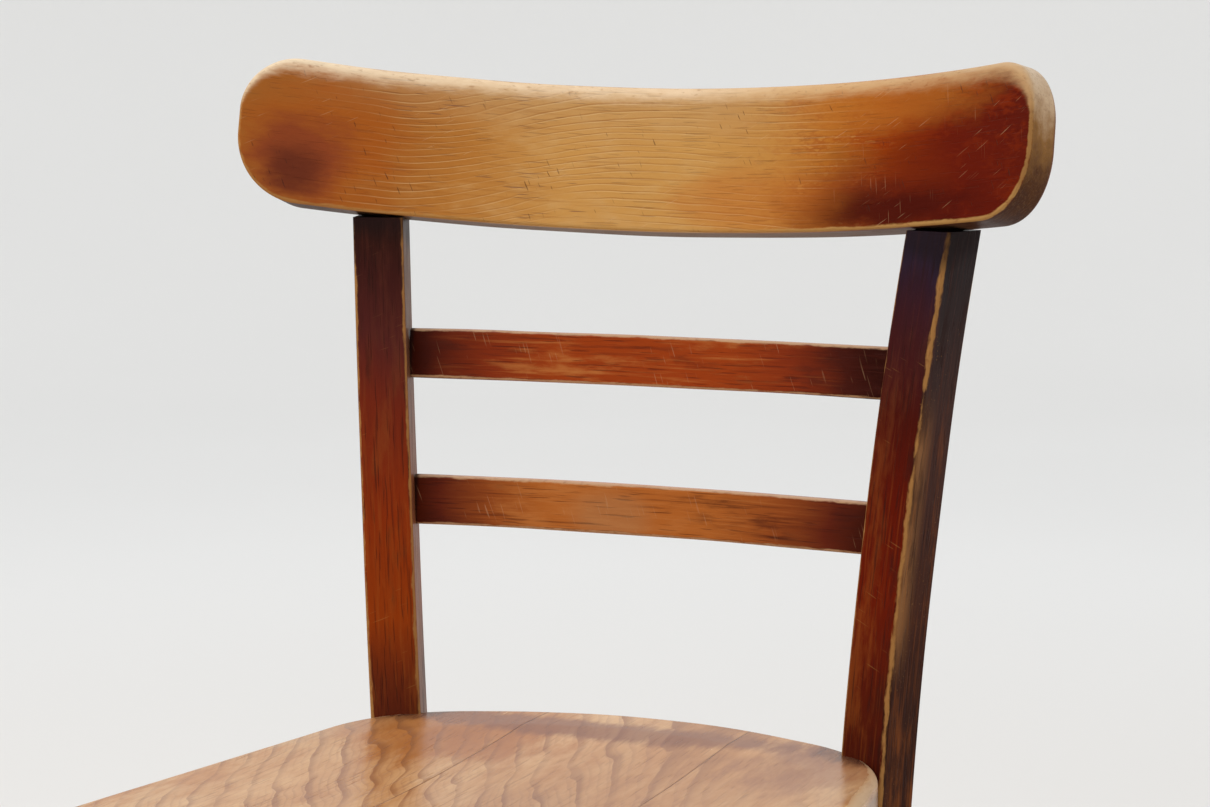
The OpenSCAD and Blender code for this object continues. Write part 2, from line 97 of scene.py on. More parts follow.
def rounded_profile(width, depth, radii, face_points=9, turn_points=5):
    """A rectangle of width by depth round its own middle, with a rounded arris at each corner.

    An arris's points are its centre plus its radius times (cos, sin) of an angle that goes
    through a quarter turn, and the faces between two arrises are straight. Width and depth
    may be columns, one row for each ring of a piece. Returns across, depth, and the distance
    of each point from the nearest arris, and which of the four arrises that is: outer front,
    outer back, inner back, inner front."""
    width, depth = np.broadcast_arrays(
        np.atleast_1d(width)[:, None], np.atleast_1d(depth)[:, None]
    )
    signs = ((1, -1), (1, 1), (-1, 1), (-1, -1))
    across, deep, away, which = [], [], [], []
    for corner in range(4):
        r, following = radii[corner], radii[(corner + 1) % 4]
        sx, sy = signs[corner]
        angle = (corner - 1) * pi / 2 + np.linspace(0, pi / 2, turn_points)
        x = sx * (width / 2 - r) + r * np.cos(angle)
        y = sy * (depth / 2 - r) + r * np.sin(angle)
        across.append(x)
        deep.append(y)
        from_middle = r * np.abs(np.linspace(-pi / 4, pi / 4, turn_points))
        away.append(np.broadcast_to(from_middle, x.shape))
        which.append(np.full(turn_points, corner))
        nx, ny = signs[(corner + 1) % 4]
        turn = corner * pi / 2
        end = (nx * (width / 2 - following) + following * cos(turn),
               ny * (depth / 2 - following) + following * sin(turn))
        share = (1 - np.cos(pi * np.arange(1, face_points + 1) / (face_points + 1))) / 2
        fx = x[:, -1:] + (end[0] - x[:, -1:]) * share
        fy = y[:, -1:] + (end[1] - y[:, -1:]) * share
        run = np.hypot(end[0] - x[:, -1:], end[1] - y[:, -1:])
        across.append(fx)
        deep.append(fy)
        away.append(np.minimum(run * share + r * pi / 4, run * (1 - share) + following * pi / 4))
        which.append(np.where(share < 0.5, corner, (corner + 1) % 4))
    return (np.concatenate(across, 1), np.concatenate(deep, 1),
            np.concatenate(away, 1), np.concatenate(which))


def closed_ends(points, fields):
    """Adds rings to both ends of a ring-by-ring surface: each is the end ring drawn in
    towards its own mean by a share, down to the mean itself, so the ends are flat and shut."""
    shares = np.array([0.94, 0.6, 0.0])

    def grow(a):
        first, last = a[0], a[-1]
        middle_first, middle_last = first.mean(0), last.mean(0)
        head = [middle_first + (first - middle_first) * s for s in shares[::-1]]
        tail = [middle_last + (last - middle_last) * s for s in shares]
        return np.concatenate([np.stack(head), a, np.stack(tail)])

    return grow(points), {k: grow(v) for k, v in fields.items()}


def make_piece(name, points, fields, material, slot, nodes):
    """Joins each point of a (rings, round, 3) array to its neighbours with four-sided faces.
    The rings close on themselves, and doubled points at poles and seams are merged."""
    rings, around = points.shape[:2]
    i, j = np.arange(rings - 1)[:, None], np.arange(around)[None, :]
    a, b = i * around + j, i * around + (j + 1) % around
    faces = np.stack([a, b, b + around, a + around], -1).reshape(-1, 4)
    mesh = bpy.data.meshes.new(name)
    mesh.from_pydata(points.reshape(-1, 3).tolist(), [], faces.tolist())
    for key, value in fields.items():
        vector = value.ndim == 3
        layer = mesh.attributes.new(key, "FLOAT_VECTOR" if vector else "FLOAT", "POINT")
        layer.data.foreach_set("vector" if vector else "value", value.astype(np.float32).ravel())
    shape = bmesh.new()
    shape.from_mesh(mesh)
    bmesh.ops.remove_doubles(shape, verts=shape.verts, dist=2e-6)
    bmesh.ops.recalc_face_normals(shape, faces=shape.faces)
    shape.to_mesh(mesh)
    shape.free()
    mesh.polygons.foreach_set("use_smooth", np.ones(len(mesh.polygons), bool))
    mesh.set_sharp_from_angle(angle=radians(50))
    piece = bpy.data.objects.new(name, mesh)
    bpy.context.scene.collection.objects.link(piece)
    mesh.materials.append(material)
    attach(piece, "root")
    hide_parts(*nodes)
    return piece


def bend(z):
    """How far back a post has curved at a height above the seat's rim: the sagitta of a
    circle of the bend radius, measured from the height of the rim."""
    return sqrt(POST_BEND_R**2 - BEND_DROP**2) - np.sqrt(POST_BEND_R**2 - (z + BEND_DROP) ** 2)


def post_point(side, across, back, z):
    """A point of a post: across and back are in the toed-in plank, z is above the rim. The
    plank leans sideways and bends back, and is turned by its toe about its own foot."""
    across = across + z * tan(POST_LEAN)
    back = back + bend(z)
    x = POST_X + across * cos(POST_TOE) + back * sin(POST_TOE)
    y = POST_Y + back * cos(POST_TOE) - across * sin(POST_TOE)
    return np.stack(np.broadcast_arrays(side * x, y, SEAT_H + z), -1)


def hand_made(points, size, seed):
    """Slow unevenness of hand-shaped wood: on each axis, the mean of a few sines of the
    position, each with its own direction, wave length and phase."""
    waves, wave_number = 4, 45
    draw = np.random.default_rng(seed)
    out = np.zeros(points.shape)
    for axis in range(3):
        for _ in range(waves):
            k = draw.normal(0, wave_number, 3)
            out[..., axis] += np.sin(points @ k + draw.uniform(0, 6.3)) / waves
    return points + out * size


def build_post(side, material, node):
    """Rings at heights from the foot to just inside the crest rail. Each ring is a rounded
    rectangle that tapers to the foot below the seat, carried along the bent path."""
    z = np.linspace(GLIDE_H - SEAT_H, CREST_LINE - SEAT_H + 6 * MM, 260)
    width = POST_W + (POST_W - FOOT_W) * np.minimum(0, z + SEAT_T) / (SEAT_H - SEAT_T)
    depth = POST_D - FOOT_TAPER * np.clip((TAPER_H - SEAT_H - z) / TAPER_H, 0, 1)
    t, n, away, which = rounded_profile(width, depth, (2.6 * MM, 2.0 * MM, 1.8 * MM, 2.0 * MM))
    points = post_point(side, t, n + depth[:, None] / 2, z[:, None])
    points = hand_made(points, UNEVEN_POST, 11 + side)
    zz = np.broadcast_to(z[:, None], t.shape)
    worn = np.array([3.4, 1.5, 1.6, 2.2] if side > 0 else [2.2, 1.3, 1.6, 2.4])[which] * MM
    fields = {
        "plank": np.stack([zz + 3.1 * side, t, n], -1),
        "wear": away / worn,
        "facing": np.stack([t / width[:, None] * 2, n / depth[:, None] * 2, zz], -1),
    }
    name = "post_right" if side > 0 else "post_left"
    return make_piece(name, *closed_ends(points, fields), material, "frame_wood", [node])


def crest_half_length(e):
    """Half the crest rail's length along its curve at a depth e: the angle whose sine is the
    tip's distance from the middle plane over the radius there, times the face's radius."""
    return CREST_R * np.arcsin((CREST_TIP + e * CREST_TIP_FLARE) / (CREST_R + e))


def crest_point(s, h, e):
    """A point of the crest rail: s along the curve of its face, h up it and e into it. The
    curve is a circle about an upright axis in front of the chair, tilted back as a whole,
    and the height grows by a share of the square of the distance from the middle."""
    lean = np.abs(s) / crest_half_length(0)
    s = s * (1 - (1 - crest_half_length(e) / crest_half_length(0)) * lean**4)
    angle = s / CREST_R
    x = (CREST_R + e) * np.sin(angle)
    forward = CREST_R - (CREST_R + e) * np.cos(angle)
    up = h + (CREST_SMILE + CREST_FAN * h / CREST_H) * x * x
    return np.stack([x, CREST_Y - forward * cos(CREST_TILT) + up * sin(CREST_TILT),
                     CREST_LINE + forward * sin(CREST_TILT) + up * cos(CREST_TILT)], -1)


def crest_outline(half):
    """The crest rail's outline on its face as two halves, over the top and under: straight
    edges joined at each end by two quarter circles with a short upright between them.
    Returns for each half s, h and the outward normal, from left to right."""
    turn = np.linspace(0, pi / 2, 34)
    flat = np.sin(np.linspace(-pi / 2, pi / 2, 150)[1:-1])
    upright = np.linspace(0, 1, 4)[:-1]
    halves = []
    for r, edge, way in ((CREST_TOP_R, CREST_H, 1), (CREST_LOW_R, 0, -1)):
        middle = (CREST_LOW_R + CREST_H - CREST_TOP_R) / 2
        level = edge - way * r
        s = np.concatenate([np.full(3, -half), -half + r * (1 - np.cos(turn)), flat * (half - r),
                            (half - r * (1 - np.cos(turn)))[::-1], np.full(3, half)])
        rise, arc = middle + (level - middle) * upright, level + way * r * np.sin(turn)
        h = np.concatenate([rise, arc, np.full(flat.shape, edge), arc[::-1], rise[::-1]])
        ns = np.concatenate([np.full(3, -1), -np.cos(turn), flat * 0,
                             np.cos(turn)[::-1], np.full(3, 1)])
        nh = np.concatenate([np.zeros(3), np.sin(turn), flat * 0 + 1,
                             np.sin(turn)[::-1], np.zeros(3)])
        halves.append((s, h, ns, nh * way))
    return halves


def build_crest(material):
    """Rings that start on a line along the middle of the face, grow to the outline, turn over
    its front arris, cross the thickness, turn over the back arris and shrink to a line again.
    The arrises are round by a radius that depends on which way the outline faces."""
    half = crest_half_length(0)
    (s0, h0, a0, b0), (s1, h1, a1, b1) = crest_outline(half)
    limit = half - CREST_LOW_R
    line = (np.clip(s0, -limit, limit) + np.clip(s1, -limit, limit)) / 2
    pairs = ((s0, s1), (h0, h1), (a0, a1), (b0, b1))
    s, h, ns, nh = (np.concatenate([over, under[::-1]]) for over, under in pairs)
    line = np.concatenate([line, line[::-1]])
    up, down = np.clip(nh, 0, 1) ** 1.5, np.clip(-nh, 0, 1) ** 1.5
    front_r = 3.0 * MM + up * 6.2 * MM - down * 1.4 * MM
    back_r = 4.5 * MM + up * 3 * MM + down * 1.5 * MM
    # The band is widest along the top, where its pale colour is partly painted highlight
    worn = (2.6 + 8.0 * up + 0.2 * down) * MM
    middle_h = CREST_H / 2
    grow = np.linspace(0, 1, 26)[:, None]
    quarter = np.linspace(0, pi / 2, 9)[1:, None]
    across = np.linspace(0, 1, 6)[1:-1, None]

    def face(r, e):
        to_s, to_h = s - ns * r, h - nh * r
        return (line + (to_s - line) * grow, middle_h + (to_h - middle_h) * grow,
                np.full((len(grow), len(s)), e))

    fs, fh, fe = face(front_r, 0.0)
    turn_in = front_r * (1 - np.sin(quarter))
    turn_e = front_r * (1 - np.cos(quarter))
    rim_e = front_r + (CREST_T - back_r - front_r) * across
    back_in = back_r * (1 - np.cos(np.concatenate([[[0.0]], quarter])))
    back_e = CREST_T - back_r * (1 - np.sin(np.concatenate([[[0.0]], quarter])))
    bs, bh, be = face(back_r, CREST_T)
    ss = np.concatenate([fs, s - ns * turn_in, s + rim_e * 0, s - ns * back_in, bs[::-1][1:]])
    hh = np.concatenate([fh, h - nh * turn_in, h + rim_e * 0, h - nh * back_in, bh[::-1][1:]])
    ee = np.concatenate([fe, turn_e, rim_e, back_e, be[::-1][1:]])
    inset = np.abs((s - ss) * ns + (h - hh) * nh)
    reach = np.minimum(np.hypot(inset, ee), np.hypot(inset, CREST_T - ee) * 1.6)
    ss = ss - CREST_SHIFT
    points = hand_made(crest_point(ss, hh, ee), UNEVEN_CREST, 5)
    fields = {"plank": np.stack([ss, hh, ee], -1),
              "wear": (reach - 0.41 * front_r * np.exp(-reach / MM / 9)).clip(0) / worn}
    return make_piece("crest_rail_worn", points, fields, material, "crest_wood", ["crest_rail"])


def build_slat(place, material, node):
    """A thin board from post to post. Its middle line is a circle through its two ends and
    its bowed middle, and its rounded section leans back with the posts."""
    low = SLAT_Z[place] - SEAT_H
    end = post_point(1, -POST_W / 2, SLAT_INSET, low + SLAT_H / 2)
    reach = end[0] + 1.5 * MM
    r = (end[0] ** 2 + SLAT_BOW**2) / (2 * SLAT_BOW)
    lean = np.arctan((bend(low + SLAT_H) - bend(low)) / SLAT_H)
    x = np.linspace(-reach, reach, 150)
    back = end[1] + SLAT_BOW - (r - np.sqrt(r * r - x * x))
    arrises = (2.2 * MM, 2 * MM, 1.4 * MM, 1.8 * MM)
    up, deep, away, which = rounded_profile(np.full(150, SLAT_H), SLAT_T, arrises)
    up, deep, away = (np.broadcast_to(a, (150, up.shape[1])) for a in (up, deep, away))
    rise = up + SLAT_H / 2
    slant = x[:, None] / r
    y = back[:, None] + (deep + SLAT_T / 2) * cos(lean) + rise * sin(lean)
    z = SLAT_Z[place] + rise * cos(lean) - (deep + SLAT_T / 2) * sin(lean)
    xx = x[:, None] + (deep + SLAT_T / 2) * slant
    points = hand_made(np.stack([xx, y, z], -1), UNEVEN_SLAT, 21 + place)
    worn = np.array([2.4, 1.6, 1.4, 2.0])[which] * MM
    fields = {"plank": np.stack([xx + 2.3 * place, rise, deep], -1), "wear": away / worn,
              "facing": np.stack([xx / reach, rise / SLAT_H, deep / SLAT_T], -1)}
    name = ("slat_low", "slat_high")[place]
    return make_piece(name, *closed_ends(points, fields), material, "slat_wood", [node])


def seat_outline(count):
    """The seat's outline seen from above, evenly spaced: a six-cornered figure whose corners
    are each replaced by an arc that touches both sides, with y from the posts' front faces."""
    apex = SEAT_REAR + SEAT_BOW_R * (1 / cos(SEAT_BOW_END) - 1)
    flare, bow, front_bow = tan(SEAT_FLARE), tan(SEAT_BOW_END), tan(FRONT_BOW_END)
    half = SEAT_W / 2 - SEAT_FRONT * flare
    x = (half - apex * flare) / (1 - bow * flare)
    y = apex - x * bow
    low = -SEAT_FRONT - FRONT_BOW_R * (1 / cos(FRONT_BOW_END) - 1)
    fx = (SEAT_W / 2 - (low + SEAT_FRONT) * flare) / (1 + front_bow * flare)
    fy = low + fx * front_bow
    corners = [(0, apex, SEAT_BOW_R), (-x, y, SEAT_REAR_R), (-fx, fy, SEAT_FRONT_R),
               (0, low, FRONT_BOW_R), (fx, fy, SEAT_FRONT_R), (x, y, SEAT_REAR_R)]
    path = []
    for i, (px, py, r) in enumerate(corners):
        p = np.array([px, py])
        a, b = (np.array(corners[j % 6][:2]) - p for j in (i - 1, i + 1))
        a, b = a / np.linalg.norm(a), b / np.linalg.norm(b)
        half_angle = np.arccos(a @ b) / 2
        centre = p + (a + b) / np.linalg.norm(a + b) * r / sin(half_angle)
        start = p + a * r / tan(half_angle) - centre
        turn = (pi - 2 * half_angle) * np.sign(a[0] * b[1] - a[1] * b[0])
        t = np.linspace(0, -turn, 60)
        path.append(centre + np.stack([start[0] * np.cos(t) - start[1] * np.sin(t),
                                       start[0] * np.sin(t) + start[1] * np.cos(t)], -1))
    path = np.concatenate(path)
    path = np.concatenate([path, path[:1]])
    length = np.concatenate([[0], np.cumsum(np.linalg.norm(np.diff(path, axis=0), axis=1))])
    at = np.linspace(0, length[-1], count, endpoint=False)
    return np.stack([np.interp(at, length, path[:, k]) for k in (0, 1)], -1)


def seat_dish(x, y):
    """How far the seat's top lies under its rim: the dish's depth times a smooth bowl of the
    distance from its middle, which is 1 there and 0 at the dish's edge, and a soft crown
    between the two thighs at the front."""
    away = np.hypot(x, (y + SEAT_FRONT / 2 - SEAT_REAR / 4)) / DISH_SPAN
    bowl = np.clip(1 - away**2, 0, 1)
    crown = 0.15 * np.exp(-(x / 0.03) ** 2) * np.clip(-(y + 0.2) / 0.1, 0, 1)
    return DISH_DEPTH * bowl * (1 - crown)


def build_seat(material):
    """Rings that start at the middle of the top, grow to the outline, turn over the rounded
    upper arris, go down the rim, turn under and shrink to the middle of the underside."""
    edge = seat_outline(560)
    along = np.roll(edge, -1, 0) - np.roll(edge, 1, 0)
    normal = np.stack([along[:, 1], -along[:, 0]], -1) / np.linalg.norm(along, axis=1)[:, None]
    if (normal * edge).sum() < 0:
        normal = -normal
    middle = np.array([0, -SEAT_FRONT / 2 + SEAT_REAR / 2])
    top_r, low_r = 6.5 * MM, 3.0 * MM
    grow = np.linspace(0, 1, 64)[:, None, None] ** 0.8
    quarter = np.linspace(0, pi / 2, 9)[1:]
    top = middle + (edge - normal * top_r - middle) * grow
    turn_top = edge - normal * top_r * (1 - np.sin(quarter))[:, None, None]
    rim = np.repeat(edge[None], 3, 0)
    turn_low = edge - normal * low_r * (1 - np.cos(np.r_[0, quarter]))[:, None, None]
    under = middle + (edge - normal * low_r - middle) * grow[::-1][1:]
    drop = np.concatenate([np.zeros(64), top_r * (1 - np.cos(quarter)),
                           np.linspace(top_r, SEAT_T - low_r, 5)[1:-1],
                           SEAT_T - low_r * (1 - np.sin(np.r_[0, quarter])), np.full(63, SEAT_T)])
    xy = np.concatenate([top, turn_top, rim, turn_low, under])
    dish = np.where((drop < top_r)[:, None], seat_dish(xy[..., 0], xy[..., 1]), 0)
    z = SEAT_H - drop[:, None] - dish
    points = np.stack([xy[..., 0], xy[..., 1] + POST_Y, z], -1)
    points = hand_made(points, UNEVEN, 31)
    inset = np.linalg.norm(edge - xy, axis=-1)
    reach = np.minimum(np.hypot(inset, drop[:, None]), np.hypot(inset, SEAT_T - drop[:, None]) * 2)
    fields = {"plank": np.stack([points[..., 1], points[..., 0], points[..., 2]], -1),
              "wear": (reach - 2.7 * MM).clip(0) / (5 * MM)}
    return make_piece("seat_worn", points, fields, material, "seat_wood",
                      ["seat_board_left", "seat_board_centre", "seat_board_right"])


def build_stick(node, start, end, size, radius, seed, material, rings=60):
    """A straight bar: a rounded rectangle, thick across and high, carried from start to end
    along the level line between them, with its underside at their height."""
    start, end = np.array(start, float), np.array(end, float)
    way = (end - start) / np.linalg.norm(end - start)
    side = np.array([-way[1], way[0], 0])
    thick, high = size
    t, h, away, _ = rounded_profile(np.full(rings, thick), high, (radius,) * 4)
    t, h, away = (np.broadcast_to(a, (rings, t.shape[1])) for a in (t, h, away))
    s = np.linspace(0, 1, rings)[:, None, None]
    lift = np.array([0, 0, 1.0]) * (h + high / 2)[..., None]
    points = start + (end - start) * s + side * t[..., None] + lift
    points = hand_made(points, UNEVEN, seed)
    along = np.broadcast_to(s[..., 0] * np.linalg.norm(end - start), t.shape)
    fields = {"plank": np.stack([along + seed * 1.7, h, t], -1), "wear": away / (1.7 * MM)}
    return make_piece(f"{node}_worn", *closed_ends(points, fields), material, "frame_wood", [node])


def build_front_leg(side, material, node):
    """Rings from the floor glide to the seat's underside. The outer two faces are upright,
    and the inner two taper below the aprons, so the ring's middle shifts with its width."""
    z = np.linspace(GLIDE_H, SEAT_H - SEAT_T + 1 * MM, 150)
    width = FOOT_W + (LEG_W - FOOT_W) * np.clip(z / SQUARE_Z, 0, 1)
    t, n, away, _ = rounded_profile(width, width, (2.2 * MM,) * 4)
    x = LEG_X + (LEG_W - width[:, None]) / 2 + t
    y = LEG_Y - (LEG_W - width[:, None]) / 2 + n
    zz = np.broadcast_to(z[:, None], t.shape)
    points = hand_made(np.stack([side * x, y, zz], -1), UNEVEN, 41 + side)
    fields = {"plank": np.stack([zz + 5.3 * side, t, n], -1), "wear": away / (2.0 * MM)}
    return make_piece(f"{node}_worn", *closed_ends(points, fields), material, "frame_wood", [node])


def post_middle(z):
    """The middle of a post at a height above the floor."""
    return post_point(1, 0, POST_D / 2, np.array(z - SEAT_H))


# Finishes


class Value:
    """A shader socket that adds a Math node when it is summed, multiplied and so on."""

    def __init__(self, finish, socket):
        self.finish, self.socket = finish, socket

    def math(self, kind, a, b=0.0):
        return self.finish.value("ShaderNodeMath", {"operation": kind}, {0: a, 1: b})

    def __add__(self, other):
        return self.math("ADD", self, other)

    def __sub__(self, other):
        return self.math("SUBTRACT", self, other)

    def __rsub__(self, other):
        return self.math("SUBTRACT", other, self)

    def __mul__(self, other):
        return self.math("MULTIPLY", self, other)

    def __truediv__(self, other):
        return self.math("DIVIDE", self, other)

    def __pow__(self, other):
        return self.math("POWER", self, other)

    def __abs__(self):
        return self.math("ABSOLUTE", self)

    __radd__, __rmul__ = __add__, __mul__


class Finish:
    """A material in the making, with the textures that every wood of the chair shares."""

    def __init__(self, name):
        self.material = bpy.data.materials.new(name)
        self.material.use_nodes = True
        self.tree = self.material.node_tree
        self.tree.nodes.clear()

    def node(self, kind, settings=None, inputs=None):
        """One node: its settings first, a ramp's stops among them, then its sockets."""
        made = self.tree.nodes.new(kind)
        for key, setting in (settings or {}).items():
            if key == "stops":
                ramp = made.color_ramp
                for at, colour in setting[2:]:
                    ramp.elements.new(at)
                for element, (at, colour) in zip(ramp.elements, setting):
                    element.position = at
                for element, (at, colour) in zip(ramp.elements, setting):
                    element.color = (*colour, 1)
            else:
                setattr(made, key, setting)
        for key, given in (inputs or {}).items():
            socket = made.inputs[key]
            if isinstance(given, Value):
                self.tree.links.new(given.socket, socket)
            elif socket.type == "RGBA" and len(given) == 3:
                socket.default_value = (*given, 1)
            else:
                socket.default_value = given
        return made

    def value(self, kind, settings=None, inputs=None, output=0):
        return Value(self, self.node(kind, settings, inputs).outputs[output])

    def attribute(self, name, output):
        return self.value("ShaderNodeAttribute", {"attribute_name": name}, None, output)

    def split(self, vector):
        made = self.node("ShaderNodeSeparateXYZ", None, {0: vector})
        return [Value(self, made.outputs[k]) for k in range(3)]

    def join(self, x, y, z):
        return self.value("ShaderNodeCombineXYZ", None, {0: x, 1: y, 2: z})

    def stretched(self, vector, scale, shift=(0, 0, 0)):
        return self.value("ShaderNodeVectorMath", {"operation": "MULTIPLY_ADD"},
                          {0: vector, 1: scale, 2: shift})

    def noise(self, vector, scale=(1, 1, 1), shift=(0, 0, 0), detail=2.0, rough=0.5):
        """Smooth noise from 0 to 1 with a mean of a half, of a stretched copy of a vector."""
        return self.value("ShaderNodeTexNoise", None,
                          {"Vector": self.stretched(vector, scale, shift), "Scale": 1.0,
                           "Detail": detail, "Roughness": rough})

    def step(self, value, start, end):
        """A smooth step from 0 at start to 1 at end, which may be the lower of the two."""
        return self.value("ShaderNodeMapRange", {"interpolation_type": "SMOOTHSTEP"},
                          {"Value": value, "From Min": start, "From Max": end})

    def mix(self, share, a, b, blend="MIX"):
        return self.value("ShaderNodeMix", {"data_type": "RGBA", "blend_type": blend},
                          {0: share, 6: a, 7: b}, 2)

    def ramp(self, value, start, end, stops):
        """A colour for a value: each stop is the value it stands at and its linear colour."""
        share = (value - start) / (end - start)
        placed = [((at - start) / (end - start), colour) for at, colour in stops]
        return self.value("ShaderNodeValToRGB", {"stops": placed}, {0: share})

    def patch(self, x, y, middle, reach, ragged, soft=0.4):
        """A soft spot round a middle: 1 less the distance in reaches, roughened by noise."""
        far = (((x - middle[0]) / reach[0]) ** 2.0 + ((y - middle[1]) / reach[1]) ** 2.0) ** 0.5
        return self.step(far + ragged, 1 + soft, 1 - soft)

    def growth(self, plank, pith, tilt, spacing, slow, wave, shift=(0, 0, 0), rise=0.0):
        """How far each point is through its growth ring, from 0 to 1: the distance from a
        tilted pith line, bent by slow and by quick noise, in ring widths, without its whole
        part."""
        x, y, z = self.split(plank)
        bent = ((self.noise(plank, (3.5, 10, 10), shift) - 0.5) * slow * 2
                + (self.noise(plank, (16, 60, 60), shift) - 0.5) * wave * 2)
        high = y - pith[0] - x * tilt + bent - rise
        deep = z - pith[1]
        radial = (high * high + deep * deep) ** 0.5 / spacing
        uneven = (self.noise(plank, (1.5, 30, 30), (4, 2, 7)) - 0.5) * 1.3
        return self.value("ShaderNodeMath", {"operation": "FRACT"}, {0: radial + uneven})

    def worn(self, plank, width=1.0, ragged=1.2, soft=0.0):
        """Where the stain is worn through: near an arris, patchily along it."""
        wear = self.attribute("wear", 2)
        patchy = (self.noise(plank, (70, 240, 240), (8, 1, 3), 4.0, 0.65) - 0.5) * ragged * 1.3
        slow = (self.noise(plank, (9, 20, 20), (1, 9, 2)) - 0.5) * ragged
        return self.step(width - wear + patchy + slow, 0.3 - soft, 0.75 + soft)

    def scratches(self, vector, turn, length, fine, shift, rare=0.66):
        """Short thin strokes: noise drawn out along one turned direction, cut off high."""
        turned = self.value("ShaderNodeVectorRotate", {"rotation_type": "Z_AXIS"},
                            {"Vector": vector, "Angle": turn})
        field = self.noise(turned, (length, fine, fine), shift, 0.0)
        some = self.step(self.noise(vector, (25, 25, 25), shift), 0.45, 0.6)
        return self.step(field, rare, rare + 0.06) * some

    def finished(self, colour, roughness, height, bump, specular, metallic=0.0, ior=1.5):
        """The shader itself. Only colour, roughness, metallic and the bump may vary."""
        normal = self.value("ShaderNodeBump", None,
                            {"Height": height, "Distance": bump, "Strength": 1.0})
        shader = self.value("ShaderNodeBsdfPrincipled", None,
                            {"Base Color": colour, "Roughness": roughness, "Metallic": metallic,
                             "Specular IOR Level": specular, "IOR": ior, "Normal": normal})
        self.node("ShaderNodeOutputMaterial", None, {"Surface": shader})
        return self.material


